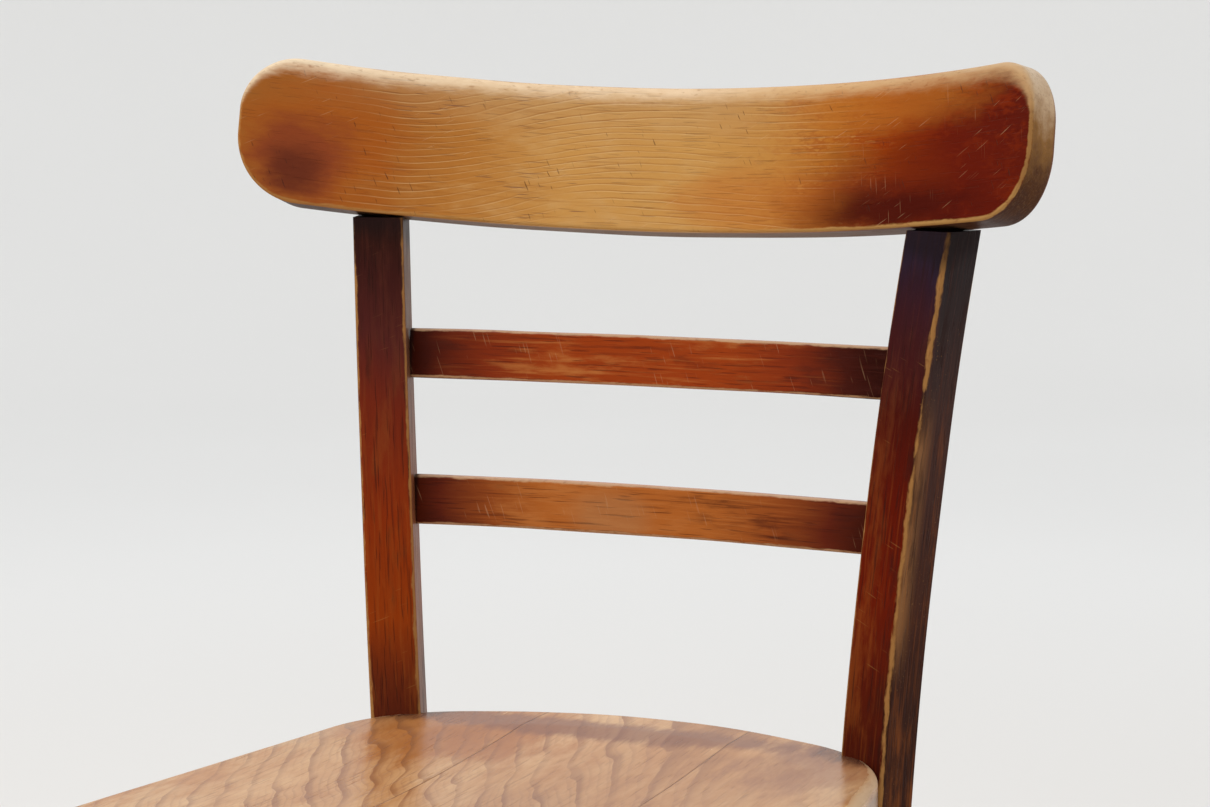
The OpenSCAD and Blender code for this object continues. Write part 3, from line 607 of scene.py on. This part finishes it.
def crest_finish():
    """Honey wood under old varnish: orange at the left end, deep red at the right one, with
    pale wavy growth lines, dark stains, strokes and a wide pale band along the top that is
    partly worn wood and partly painted highlight. The end faces darken to painted shade
    at the bottom."""
    f = Finish("crest_varnished_wood")
    plank = f.attribute("plank", 1)
    s, h, e = f.split(plank)
    slow = f.noise(plank, (7, 14, 14), (3, 5, 1)) - 0.5
    mid = f.noise(plank, (40, 90, 90), (6, 2, 8), 4.0, 0.6) - 0.5
    small = f.noise(plank, (180, 420, 420), (2, 7, 4), 3.0) - 0.5
    along = s + slow * 0.07 + mid * 0.025
    base = f.ramp(along, -0.26, 0.26, (
        (-0.25, (0.33, 0.115, 0.022)), (-0.19, (0.34, 0.105, 0.017)),
        (-0.13, (0.42, 0.165, 0.032)), (-0.06, (0.53, 0.265, 0.070)),
        (0.01, (0.53, 0.27, 0.072)), (0.06, (0.49, 0.225, 0.050)),
        (0.10, (0.44, 0.145, 0.018)), (0.145, (0.32, 0.050, 0.001)),
        (0.190, (0.140, 0.009, 0.0005)), (0.25, (0.085, 0.005, 0.0005))))
    light = f.step(mid + slow * 0.8, -0.05, 0.25) * f.step(s, 0.12, 0.0) * f.step(s, -0.22, -0.1)
    base = f.mix(light * 0.4, base, (0.57, 0.34, 0.135))
    # The upper part is greyer
    faded = f.step(h + slow * 0.03, 0.045, 0.085) * f.step(s, 0.13, 0.02) * f.step(s, -0.25, -0.15)
    base = f.mix(faded * 0.5, base, (0.46, 0.27, 0.12))
    # Speckle and red mottling towards the right
    right = f.step(s, 0.02, 0.12)
    red = f.step(mid * 1.2 + small * 0.8, -0.05, 0.22) * right
    base = f.mix(red * 0.5, base, (0.25, 0.026, 0.001))
    gold = f.step(small * 1.2 + mid * 0.5, 0.08, 0.24) * right * f.step(s, 0.17, 0.09)
    base = f.mix(gold * 0.6, base, (0.56, 0.25, 0.05))
    # Growth lines: a thin pale line with a darker one under it
    rise = f.step(s, -0.17, -0.03) * 0.026 - f.step(s, -0.02, 0.12) * 0.006
    ring = f.growth(plank, (0.105, -0.022), 0.0, 0.0040, 0.0085, 0.0022, (0, 3, 0), rise)
    pale = f.step(ring, 0.80, 0.91) * f.step(ring, 0.985, 0.93)
    dark = f.step(ring, 0.60, 0.78) * f.step(ring, 0.86, 0.79)
    clear = (f.step(f.noise(plank, (12, 26, 26), (9, 9, 1)), 0.32, 0.60)
             * f.step(s, 0.16, 0.05) * f.step(s, -0.24, -0.15))
    base = f.mix(dark * clear * 0.5, base, (0.28, 0.10, 0.02))
    base = f.mix(pale * clear * 0.45, base, (0.68, 0.45, 0.21))
    # Fibres and open pores
    fibre = f.noise(plank, (16, 620, 620), (1, 1, 5), 3.0) - 0.5
    base = f.mix(f.step(fibre, 0.02, 0.25) * 0.28, base, (0.40, 0.20, 0.08), "MULTIPLY")
    pore = f.step(f.noise(plank, (40, 1000, 1000), (5, 3, 3), 1.0), 0.64, 0.72)
    greyish = (f.patch(s, h, (-0.125, 0.074), (0.055, 0.016), mid * 1.6)
               + f.patch(s, h, (-0.08, 0.018), (0.036, 0.016), mid * 1.6))
    base = f.mix(pore * (0.22 + greyish * 0.5), base, (0.19, 0.08, 0.05))
    # Stains
    ragged = mid * 1.3 + slow
    stains = (
        ((-0.218, 0.036), (0.046, 0.036), (0.36, 0.080, 0.008), 0.6, 0.5),
        ((-0.224, 0.027), (0.026, 0.021), (0.20, 0.034, 0.016), 0.7, 0.5),
        ((-0.226, 0.019), (0.015, 0.012), (0.10, 0.020, 0.010), 0.75, 0.6),
        ((0.122, 0.016), (0.040, 0.014), (0.20, 0.022, 0.006), 0.6, 0.7),
        ((0.190, 0.022), (0.075, 0.034), (0.110, 0.007, 0.001), 0.7, 0.7),
        ((0.150, 0.010), (0.052, 0.011), (0.050, 0.003, 0.001), 0.85, 0.7),
        ((0.055, 0.018), (0.045, 0.016), (0.44, 0.12, 0.014), 0.5, 0.6),
        ((0.150, 0.072), (0.060, 0.016), (0.42, 0.13, 0.016), 0.6, 0.6),
    )
    for middle, reach, colour, strength, soft in stains:
        base = f.mix(f.patch(s, h, middle, reach, ragged, soft) * strength, base, colour)
    # Pale strokes on the right, fine ones across them, and a few dark ticks
    strokes = f.scratches(plank, 1.45, 50, 1100, (2, 2, 2), 0.77) * right
    base = f.mix(strokes * 0.3, base, (0.50, 0.26, 0.13))
    strokes = f.scratches(plank, -0.5, 60, 1300, (7, 1, 2), 0.75)
    base = f.mix(strokes * 0.3, base, (0.60, 0.38, 0.20))
    ticks = f.scratches(plank, 1.1, 110, 800, (4, 8, 6), 0.745)
    base = f.mix(ticks * 0.6, base, (0.06, 0.02, 0.012))
    # Back, underside and ends
    behind = f.step(e, 0.004, 0.012)
    base = f.mix(behind * 0.55, base, (0.17, 0.062, 0.022))
    under = f.step(h, 0.0035, 0.0005) * f.step(e, 0.002, 0.006)
    base = f.mix(under * 0.85, base, (0.13, 0.075, 0.045))
    # End faces: pale tan above, running down to near black at the bottom, which is painted shade
    # where the end turns under
    tip = (f.step(abs(s + CREST_SHIFT) + mid * 0.04, 0.16, 0.214) * f.step(e, 0.001, 0.003)
           * f.step(e, 0.0285, 0.0245))
    end_grain_and_shade = f.ramp(h + mid * 0.04, 0.0, 0.09, (
        (0.0, (0.045, 0.012, 0.003)), (0.020, (0.075, 0.025, 0.006)),
        (0.042, (0.24, 0.110, 0.028)), (0.066, (0.52, 0.36, 0.22)), (0.088, (0.66, 0.51, 0.35))))
    end_grain_and_shade = f.mix(f.step(fibre, 0.0, 0.2) * 0.3, end_grain_and_shade, (0.18, 0.08, 0.03))
    base = f.mix(tip, base, end_grain_and_shade)
    # Worn arrises, widest along the top, where the pale band is partly worn wood and partly a
    # painted highlight on the rounding
    top = f.step(h, 0.045, 0.07)
    worn = f.worn(plank, 1.0, 0.9)
    worn = worn + (f.worn(plank, 1.05, 0.8, 0.45) - worn) * top
    bare = f.ramp(s, -0.26, 0.26, ((-0.25, (0.82, 0.65, 0.44)), (0.0, (0.78, 0.58, 0.38)),
                                   (0.08, (0.62, 0.40, 0.20)), (0.22, (0.50, 0.30, 0.14))))
    bare = f.mix(1 - top, bare, (0.44, 0.24, 0.075))
    bare = f.mix(f.step(small, 0.08, 0.25) * 0.5, bare, (0.24, 0.09, 0.04))
    low_right = f.step(s, 0.06, 0.10) * f.step(h, 0.02, 0.01)
    low_left = f.step(h, 0.03, 0.015) * f.step(s, 0.08, 0.05)
    base = f.mix(worn * (0.6 + top * 0.3 + low_right * 0.3 - low_left * 0.1), base, bare)
    rough = 0.42 + worn * 0.2 + mid * 0.2 + pore * 0.15
    height = fibre * 0.35 + small * 0.3 + mid * 0.6 - pore * 0.6 - ticks * 0.5
    return f.finished(base, rough, height, 0.0003, 0.03)


def stained(f, plank, base, bright, dark, worn_colour, wear=1.0, ragged=1.2):
    """Dark stain over straight-grained wood: mottled brighter and darker, with fibres, pores,
    strokes and arrises worn to bare wood. Returns the colour, roughness and height."""
    slow = f.noise(plank, (9, 45, 45), (5, 5, 2)) - 0.5
    mid = f.noise(plank, (38, 160, 160), (2, 6, 1), 4.0, 0.62) - 0.5
    fibre = f.noise(plank, (22, 620, 620), (1, 4, 9), 3.0) - 0.5
    small = f.noise(plank, (220, 500, 500), (3, 1, 1), 2.0) - 0.5
    base = f.mix(f.step(mid + slow * 0.9, 0.0, 0.3) * 0.65, base, bright)
    base = f.mix(f.step(mid * 0.8 - slow, 0.06, 0.3) * 0.6, base, dark)
    base = f.mix(f.step(fibre, 0.03, 0.22) * 0.45, base, bright)
    base = f.mix(f.step(fibre, -0.05, -0.25) * 0.55, base, dark)
    pore = f.step(f.noise(plank, (42, 950, 950), (6, 3, 2), 1.0), 0.62, 0.72)
    base = f.mix(pore * 0.5, base, dark)
    strokes = f.scratches(plank, 1.2, 60, 1100, (3, 2, 9), 0.75)
    base = f.mix(strokes * 0.3, base, worn_colour)
    worn = f.worn(plank, wear, ragged)
    bare = f.mix(f.step(small + fibre * 0.6, 0.05, 0.25) * 0.55, worn_colour, (0.20, 0.07, 0.025))
    base = f.mix(worn * 0.9, base, bare)
    rough = 0.33 + worn * 0.25 + mid * 0.22 + pore * 0.1
    height = fibre * 0.4 + mid * 0.7 - pore * 0.5 - worn * 0.5
    return base, rough, height


def post_finish(side):
    """Mahogany stain that runs from orange brown above the seat to near black under the crest
    rail, where painted shade turns it blue black. The right post's outer side is painted dark
    grey brown as shade, with a painted highlight by its front arris; the left one's inner side
    is painted pale as a reflected sheen."""
    f = Finish("post_stain_right" if side > 0 else "post_stain_left")
    plank = f.attribute("plank", 1)
    across, deep, z = f.split(f.attribute("facing", 1))
    slow = f.noise(plank, (9, 30, 30), (7, 7, 2)) - 0.5
    z = z + slow * 0.05
    # Dark below the seat, brightest a little above it and darker upwards; the top stops, near
    # black and bluish just under the crest rail, are painted shade from the rail
    right = (
        (-0.40, (0.065, 0.009, 0.004)), (-0.02, (0.062, 0.008, 0.004)),
        (0.03, (0.080, 0.009, 0.003)), (0.09, (0.130, 0.009, 0.001)),
        (0.14, (0.100, 0.006, 0.001)), (0.19, (0.060, 0.005, 0.002)),
        (0.235, (0.045, 0.008, 0.008)), (0.265, (0.026, 0.009, 0.017)),
        (0.284, (0.018, 0.012, 0.026)))
    left = (
        (-0.40, (0.085, 0.014, 0.007)), (-0.02, (0.080, 0.013, 0.007)),
        (0.02, (0.12, 0.020, 0.006)), (0.06, (0.26, 0.038, 0.003)),
        (0.12, (0.22, 0.026, 0.003)), (0.18, (0.15, 0.018, 0.006)),
        (0.225, (0.074, 0.014, 0.011)), (0.262, (0.036, 0.008, 0.006)),
        (0.284, (0.024, 0.007, 0.004)))
    base = f.ramp(z, -0.45, 0.29, right if side > 0 else left)
    if side > 0:
        # Painted shade: the right post's outer side, turned away from the light, is painted dark
        # grey brown
        outer = f.ramp(z, -0.45, 0.29, (
            (-0.40, (0.030, 0.009, 0.005)), (0.0, (0.030, 0.009, 0.005)),
            (0.08, (0.050, 0.016, 0.009)), (0.18, (0.052, 0.022, 0.017)),
            (0.27, (0.025, 0.018, 0.018))))
        base = f.mix(f.step(across, 0.88, 0.97), base, outer)
        # Painted highlight: a warm glint on the outer side next to the front arris
        painted_arris_glint = (f.step(across, 0.9, 0.98) * f.step(deep, 0.1, -0.9)
                * f.step(z, 0.03, 0.08) * f.step(z, 0.22, 0.17))
        base = f.mix(painted_arris_glint * 0.6, base, (0.34, 0.15, 0.05))
    else:
        # Painted sheen: the left post's inner side is painted paler, as a reflection of the bright
        # room
        base = f.mix(f.step(across, -0.88, -0.97) * 0.6, base, (0.22, 0.11, 0.06))
    bright = f.mix(f.step(z, 0.26, 0.10), (0.10, 0.025, 0.014), (0.32, 0.085, 0.014))
    colour, rough, height = stained(f, plank, base, f.mix(0.5, base, bright),
                                    (0.022, 0.007, 0.005), (0.36, 0.17, 0.05), 0.85, 1.5)
    # Painted shade: a near black band just under the crest rail
    painted_shade_under_crest = f.step(z, 0.272, 0.286)
    colour = f.mix(painted_shade_under_crest * 0.7, colour, (0.012, 0.006, 0.006))
    return f.finished(colour, rough, height, 0.0003, 0.03)


def slat_finish(place):
    """Dark stain at the ends that turns orange red in the middle, pale along the top arris as
    worn wood and painted highlight, and painted shade where each end meets its post.
    """
    f = Finish(("slat_stain_low", "slat_stain_high")[place])
    plank = f.attribute("plank", 1)
    x, up, _ = f.split(f.attribute("facing", 1))
    slow = f.noise(plank, (12, 30, 30), (2, 7, 2)) - 0.5
    out = abs(x + 0.07 + slow * 0.25)
    middle, half = (((0.40, 0.115, 0.021), (0.26, 0.060, 0.012)),
                    ((0.29, 0.042, 0.006), (0.20, 0.026, 0.006)))[place]
    outer = ((0.11, 0.016, 0.006), (0.055, 0.008, 0.004))[place]
    base = f.ramp(out, 0.0, 1.0, ((0.0, middle), (0.35, middle), (0.62, half), (0.85, outer),
                                  (0.98, tuple(c * 0.55 for c in outer))))
    bright = f.mix(f.step(out, 0.9, 0.4), base, (0.46, 0.16, 0.04))
    colour, rough, height = stained(f, plank, base, bright, (0.055, 0.010, 0.006),
                                    (0.50, 0.29, 0.15), 0.95, 1.1)
    # Pale along the top arris: worn wood and a painted highlight where the rounded arris catches
    # the light
    top = f.step(up, 0.93, 1.0)
    colour = f.mix(top * 0.45, colour, (0.62, 0.42, 0.33))
    if place == 0:
        spot = f.patch(x, up, (-0.16, 0.35), (0.16, 0.45), slow * 2.0, 0.5)
        colour = f.mix(spot * 0.4, colour, (0.38, 0.19, 0.08))
    # Painted shade: a near black band at each end, in the gap where the slat meets the post
    painted_gap_shade = f.step(abs(x), 0.975, 0.992)
    colour = f.mix(painted_gap_shade * 0.85, colour, (0.012, 0.005, 0.004))
    return f.finished(colour, rough, height, 0.0003, 0.03)


def seat_finish():
    """Three glued boards of tan wood under gloss varnish, with slanting wavy growth lines,
    amber towards the left rear, a brown band in front of the rear rim, and a worn rim."""
    f = Finish("seat_varnished_boards")
    plank = f.attribute("plank", 1)
    y, x, z = f.split(plank)
    board = f.value("ShaderNodeMath", {"operation": "FLOOR"}, {0: (x + BOARD_W / 2) / BOARD_W})
    board_shift = 0.021
    local = f.join(y, x - board * board_shift, z)
    slow = f.noise(local, (5, 14, 14), (3, 5, 1)) - 0.5
    mid = f.noise(local, (30, 90, 90), (6, 2, 8), 4.0, 0.6) - 0.5
    small = f.noise(local, (160, 420, 420), (2, 7, 4), 3.0) - 0.5
    base = f.ramp(slow + mid * 0.5, -0.25, 0.25, (
        (-0.25, (0.32, 0.130, 0.045)), (-0.08, (0.48, 0.225, 0.085)),
        (0.06, (0.56, 0.300, 0.130)), (0.24, (0.66, 0.40, 0.20))))
    rear = y - POST_Y
    # Broad growth lines with fine ones between them, clearest towards the left
    ring, fine_ring = (f.growth(local, (0.11, 0.345), -0.42, spacing, 0.020, 0.006, (0, 3, 0))
                       for spacing in (0.0135, 0.0036))
    line = f.step(ring, 0.66, 0.95) * f.step(ring, 1.0, 0.97)
    faint = f.step(fine_ring, 0.5, 0.95) * f.step(fine_ring, 1.0, 0.96)
    some = f.step(f.noise(local, (6, 18, 18), (9, 9, 1)), 0.38, 0.6)
    base = f.mix(faint * some * 0.3, base, (0.27, 0.11, 0.055))
    amber = f.patch(x, rear, (-0.14, -0.01), (0.11, 0.075), mid * 1.6 + slow)
    base = f.mix(amber * 0.7, base, (0.40, 0.135, 0.028))
    deep = f.patch(x, rear, (0.15, -0.02), (0.06, 0.06), mid * 1.8 + slow)
    base = f.mix(deep * 0.45, base, (0.25, 0.10, 0.060))
    strength = (0.2 + some * 0.55) * (1 - f.step(x, 0.0, 0.10) * 0.65)
    base = f.mix(line * strength, base, (0.19, 0.060, 0.024))
    shade = f.step(ring, 0.1, 0.85) * f.step(ring, 1.0, 0.96)
    base = f.mix(shade * some * 0.35, base, (0.42, 0.19, 0.070))
    pale = f.step(abs(x), 0.12, 0.19) * f.step(slow + mid * 0.6, -0.12, 0.12)
    base = f.mix(pale * 0.5, base, (0.58, 0.38, 0.20))
    fibre = f.noise(local, (14, 420, 420), (1, 1, 5), 3.0) - 0.5
    base = f.mix(f.step(fibre, 0.02, 0.25) * 0.22, base, (0.24, 0.10, 0.05))
    pore = f.step(f.noise(local, (30, 800, 800), (5, 3, 3), 1.0), 0.63, 0.72)
    base = f.mix(pore * 0.25, base, (0.13, 0.05, 0.03))
    band = f.patch(x, rear, (-0.03, 0.010), (0.15, 0.018), mid * 1.4 + slow)
    base = f.mix(band * 0.7, base, (0.20, 0.070, 0.036))
    # Painted shade: near black patches on the seat round the foot of each post
    for side in (-1, 1):
        near = f.patch(x, rear, (side * (POST_X + 0.006), 0.018), (0.030, 0.030), mid * 0.9, 0.4)
        base = f.mix(near * 0.8, base, (0.05, 0.018, 0.012))
    seam = f.step(abs(abs(x) - BOARD_W / 2), 0.0006, 0.0001)
    base = f.mix(seam * 0.5, base, (0.09, 0.035, 0.02))
    worn = f.worn(local, 1.0, 0.9)
    bare = f.mix(f.step(small + mid, 0.1, 0.35) * 0.4, (0.56, 0.37, 0.21), (0.32, 0.15, 0.075))
    base = f.mix(worn * 0.7, base, bare)
    underside = SEAT_H - SEAT_T
    side_face = (f.step(z, SEAT_H - 0.006, SEAT_H - 0.010)
                 * f.step(z, underside, underside + 0.002))
    base = f.mix(side_face * 0.6, base, (0.27, 0.19, 0.135))
    below = f.step(z, underside + 0.002, underside)
    base = f.mix(below * 0.5, base, (0.34, 0.20, 0.10))
    rough = 0.24 + worn * 0.2 + mid * 0.14 + below * 0.4
    height = fibre * 0.25 + mid * 0.5 - pore * 0.4 - seam
    return f.finished(base, rough, height, 0.00025, 0.5, 0.0, 1.24)


def frame_finish():
    """The same mahogany stain on the legs, aprons and stretchers."""
    f = Finish("frame_stain")
    plank = f.attribute("plank", 1)
    slow = f.noise(plank, (5, 20, 20), (7, 7, 2)) - 0.5
    base = f.ramp(slow, -0.25, 0.25, ((-0.2, (0.070, 0.012, 0.006)), (0.0, (0.11, 0.018, 0.006)),
                                      (0.22, (0.19, 0.034, 0.008))))
    colour, rough, height = stained(f, plank, base, (0.28, 0.075, 0.014), (0.030, 0.008, 0.005),
                                    (0.46, 0.25, 0.10), 0.9, 1.2)
    return f.finished(colour, rough, height, 0.0003, 0.03)


def block_finish():
    """Bare sawn softwood with saw marks across it."""
    f = Finish("block_sawn_wood")
    place = f.value("ShaderNodeTexCoord", None, None, 3)
    mid = f.noise(place, (120, 120, 40), (1, 2, 3), 4.0, 0.6) - 0.5
    fibre = f.noise(place, (60, 60, 900), (4, 4, 1), 2.0) - 0.5
    ring = f.growth(place, (0.03, 0.44), 0.3, 0.0024, 0.004, 0.001)
    line = f.step(ring, 0.5, 0.95) * f.step(ring, 1.0, 0.96)
    base = f.mix(f.step(mid, -0.2, 0.2), (0.36, 0.22, 0.11), (0.56, 0.39, 0.22))
    base = f.mix(line * 0.5, base, (0.26, 0.12, 0.05))
    base = f.mix(f.step(fibre, 0.05, 0.3) * 0.4, base, (0.22, 0.12, 0.06))
    saw = f.noise(place, (8, 8, 500), (2, 8, 3), 1.0) - 0.5
    return f.finished(base, 0.72 + mid * 0.2, saw * 0.8 + fibre * 0.3, 0.0005, 0.3)


def steel_finish(name, base_colour, rust_share):
    """Dull zinc-plated steel with fine turning marks, smudges and a little brown tarnish."""
    f = Finish(name)
    place = f.value("ShaderNodeTexCoord", None, None, 3)
    mid = f.noise(place, (500, 500, 500), (1, 2, 3), 4.0, 0.6) - 0.5
    fine = f.noise(place, (300, 300, 6000), (4, 4, 1), 2.0) - 0.5
    cloud = f.noise(place, (260, 260, 260), (7, 4, 1), 3.0)
    rust = f.step(cloud, 0.66 - rust_share, 0.74 - rust_share)
    base = f.mix(f.step(mid, -0.2, 0.25), base_colour, tuple(c * 1.35 for c in base_colour))
    base = f.mix(rust * 0.8, base, (0.16, 0.07, 0.03))
    rough = 0.36 + mid * 0.3 + rust * 0.35
    return f.finished(base, rough, fine + mid, 0.0001, 0.5, 1 - rust * 0.85)


# The chair

build_crest(crest_finish())
build_post(-1, post_finish(-1), "back_post_left")
build_post(1, post_finish(1), "back_post_right")
build_slat(0, slat_finish(0), "lower_back_slat")
build_slat(1, slat_finish(1), "upper_back_slat")
build_seat(seat_finish())

frame_stain = frame_finish()
for side, word in ((-1, "left"), (1, "right")):
    build_front_leg(side, frame_stain, f"front_leg_{word}")
    for part, low, high, thick in (("apron", APRON_Z, APRON_H, APRON_T),
                                   ("stretcher", STRETCHER_Z, STRETCHER_H, STRETCHER_T)):
        rear = post_middle(low + high / 2)
        start, end = np.array([LEG_X, LEG_Y, low]), np.array([rear[0], rear[1], low])
        way = (end - start) / np.linalg.norm(end - start)
        start = start + way * (LEG_W / 2 - INTO_LEG)
        end = end - way * (POST_D / 2 - INTO_POST)
        flip = np.array([side, 1, 1])
        build_stick(f"side_{part}_{word}", start * flip, end * flip, (thick, high),
                    SMALL_ARRIS, 50 + side * 3 + (part == "apron"), frame_stain)

back, low_back = post_middle(APRON_Z + APRON_H / 2), post_middle(STRETCHER_Z + STRETCHER_H / 2)
cross_x = LEG_X + CROSS_AT * (low_back[0] - LEG_X)
cross_y = LEG_Y + CROSS_AT * (low_back[1] - LEG_Y)
apron, stretcher = (APRON_T, APRON_H), (STRETCHER_T, STRETCHER_H)
for node, half, y, z, size, arris, seed in (
    ("front_apron", LEG_X - LEG_W / 2 + FRONT_INTO_LEG, LEG_Y, APRON_Z, apron, SMALL_ARRIS, 61),
    ("rear_apron", back[0] - POST_W / 2 + REAR_INTO_POST, back[1], APRON_Z, apron,
     SMALL_ARRIS, 62),
    ("cross_stretcher", cross_x - STRETCHER_T / 2 + CROSS_IN, cross_y, STRETCHER_Z, stretcher,
     CROSS_ARRIS, 63),
):
    build_stick(node, (-half, y, z), (half, y, z), size, arris, seed, frame_stain)

sawn, screw_steel = block_finish(), steel_finish("screw_dull_steel", (0.36, 0.35, 0.33), 0.06)
glide_steel = steel_finish("glide_worn_steel", (0.46, 0.45, 0.43), 0.02)
for node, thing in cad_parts.items():
    if node.startswith("corner_block") or node.endswith("screws") or node == "foot_glides":
        metal = screw_steel if node.endswith("screws") else glide_steel
        finish = sawn if node.startswith("corner_block") else metal
        thing.data.materials.clear()
        thing.data.materials.append(finish)


# Floor, light and camera


def build_floor():
    """A pale floor that turns up into a wall all round: a ring by ring surface whose height
    is a quarter circle of the distance past the flat part."""
    flat = np.linspace(0, FLOOR_FLAT, 12)
    upward = np.linspace(0, pi / 2, 24)[1:]
    distance = np.concatenate([flat, FLOOR_FLAT + FLOOR_RISE * np.sin(upward)])
    height = np.concatenate([flat * 0, FLOOR_RISE * (1 - np.cos(upward))])
    rings, around = len(distance), 96
    turn = np.linspace(0, 2 * pi, around, endpoint=False)
    points = np.stack([distance[:, None] * np.cos(turn), distance[:, None] * np.sin(turn),
                       np.broadcast_to(height[:, None], (rings, around))], -1)
    i, j = np.arange(rings - 1)[:, None], np.arange(around)[None, :]
    a, b = i * around + j, i * around + (j + 1) % around
    faces = np.stack([a, b, b + around, a + around], -1).reshape(-1, 4)
    mesh = bpy.data.meshes.new("floor")
    mesh.from_pydata(points.reshape(-1, 3).tolist(), [], faces.tolist())
    shape = bmesh.new()
    shape.from_mesh(mesh)
    bmesh.ops.remove_doubles(shape, verts=shape.verts, dist=1e-6)
    shape.to_mesh(mesh)
    shape.free()
    mesh.polygons.foreach_set("use_smooth", np.ones(len(mesh.polygons), bool))
    floor = bpy.data.objects.new("floor", mesh)
    bpy.context.scene.collection.objects.link(floor)
    f = Finish("pale_floor")
    place = f.value("ShaderNodeTexCoord", None, None, 3)
    cloud = f.noise(place, (0.8, 0.8, 0.8), (0, 0, 0), 2.0)
    colour = f.mix(cloud, (0.825, 0.812, 0.785), (0.855, 0.842, 0.815))
    across, along, _ = f.split(place)
    far = (across * across + along * along) ** 0.5
    # Painted shade: the floor is painted darker within a few metres of the chair, where the lamps
    # light it most
    colour = f.mix(f.step(far, 3.6, 1.6), colour, (0.73, 0.705, 0.670))
    mesh.materials.append(f.finished(colour, 0.8, cloud, 0.0001, 0.2))
    floor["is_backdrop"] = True


def area_light(name, place, target, size, power, colour):
    light = bpy.data.lights.new(name, "AREA")
    light.shape, light.size, light.energy, light.color = "DISK", size, power, colour
    lamp = bpy.data.objects.new(name, light)
    lamp.location = place
    lamp.rotation_euler = (Vector(target) - Vector(place)).to_track_quat("-Z", "Y").to_euler()
    bpy.context.scene.collection.objects.link(lamp)


build_floor()
area_light("key", (-1.6, -1.3, 2.6), (0, 0, 0.6), 1.6, 26, (1.0, 0.98, 0.95))
area_light("fill", (2.2, -1.6, 1.6), (0, 0, 0.6), 2.0, 5, (1.0, 0.97, 0.92))
area_light("back", (-0.8, 1.6, 2.4), (0, 0.1, 0.6), 1.4, 10, (0.96, 0.98, 1.0))

world = bpy.data.worlds.new("studio")
world.use_nodes = True
world.node_tree.nodes["Background"].inputs[0].default_value = (0.95, 0.97, 1.0, 1)
world.node_tree.nodes["Background"].inputs[1].default_value = 0.97
bpy.context.scene.world = world
bpy.context.scene.view_settings.view_transform = "Standard"

camera = bpy.data.cameras.new("camera")
camera.lens, camera.sensor_width = LENS, SENSOR
camera.clip_start, camera.clip_end = 0.05, 60
eye = bpy.data.objects.new("camera", camera)
eye.location = EYE
look = Vector((-sin(TURN) * cos(DIP), cos(TURN) * cos(DIP), -sin(DIP)))
eye.rotation_euler = look.to_track_quat("-Z", "Y").to_euler()
bpy.context.scene.collection.objects.link(eye)
bpy.context.scene.camera = eye

low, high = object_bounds()
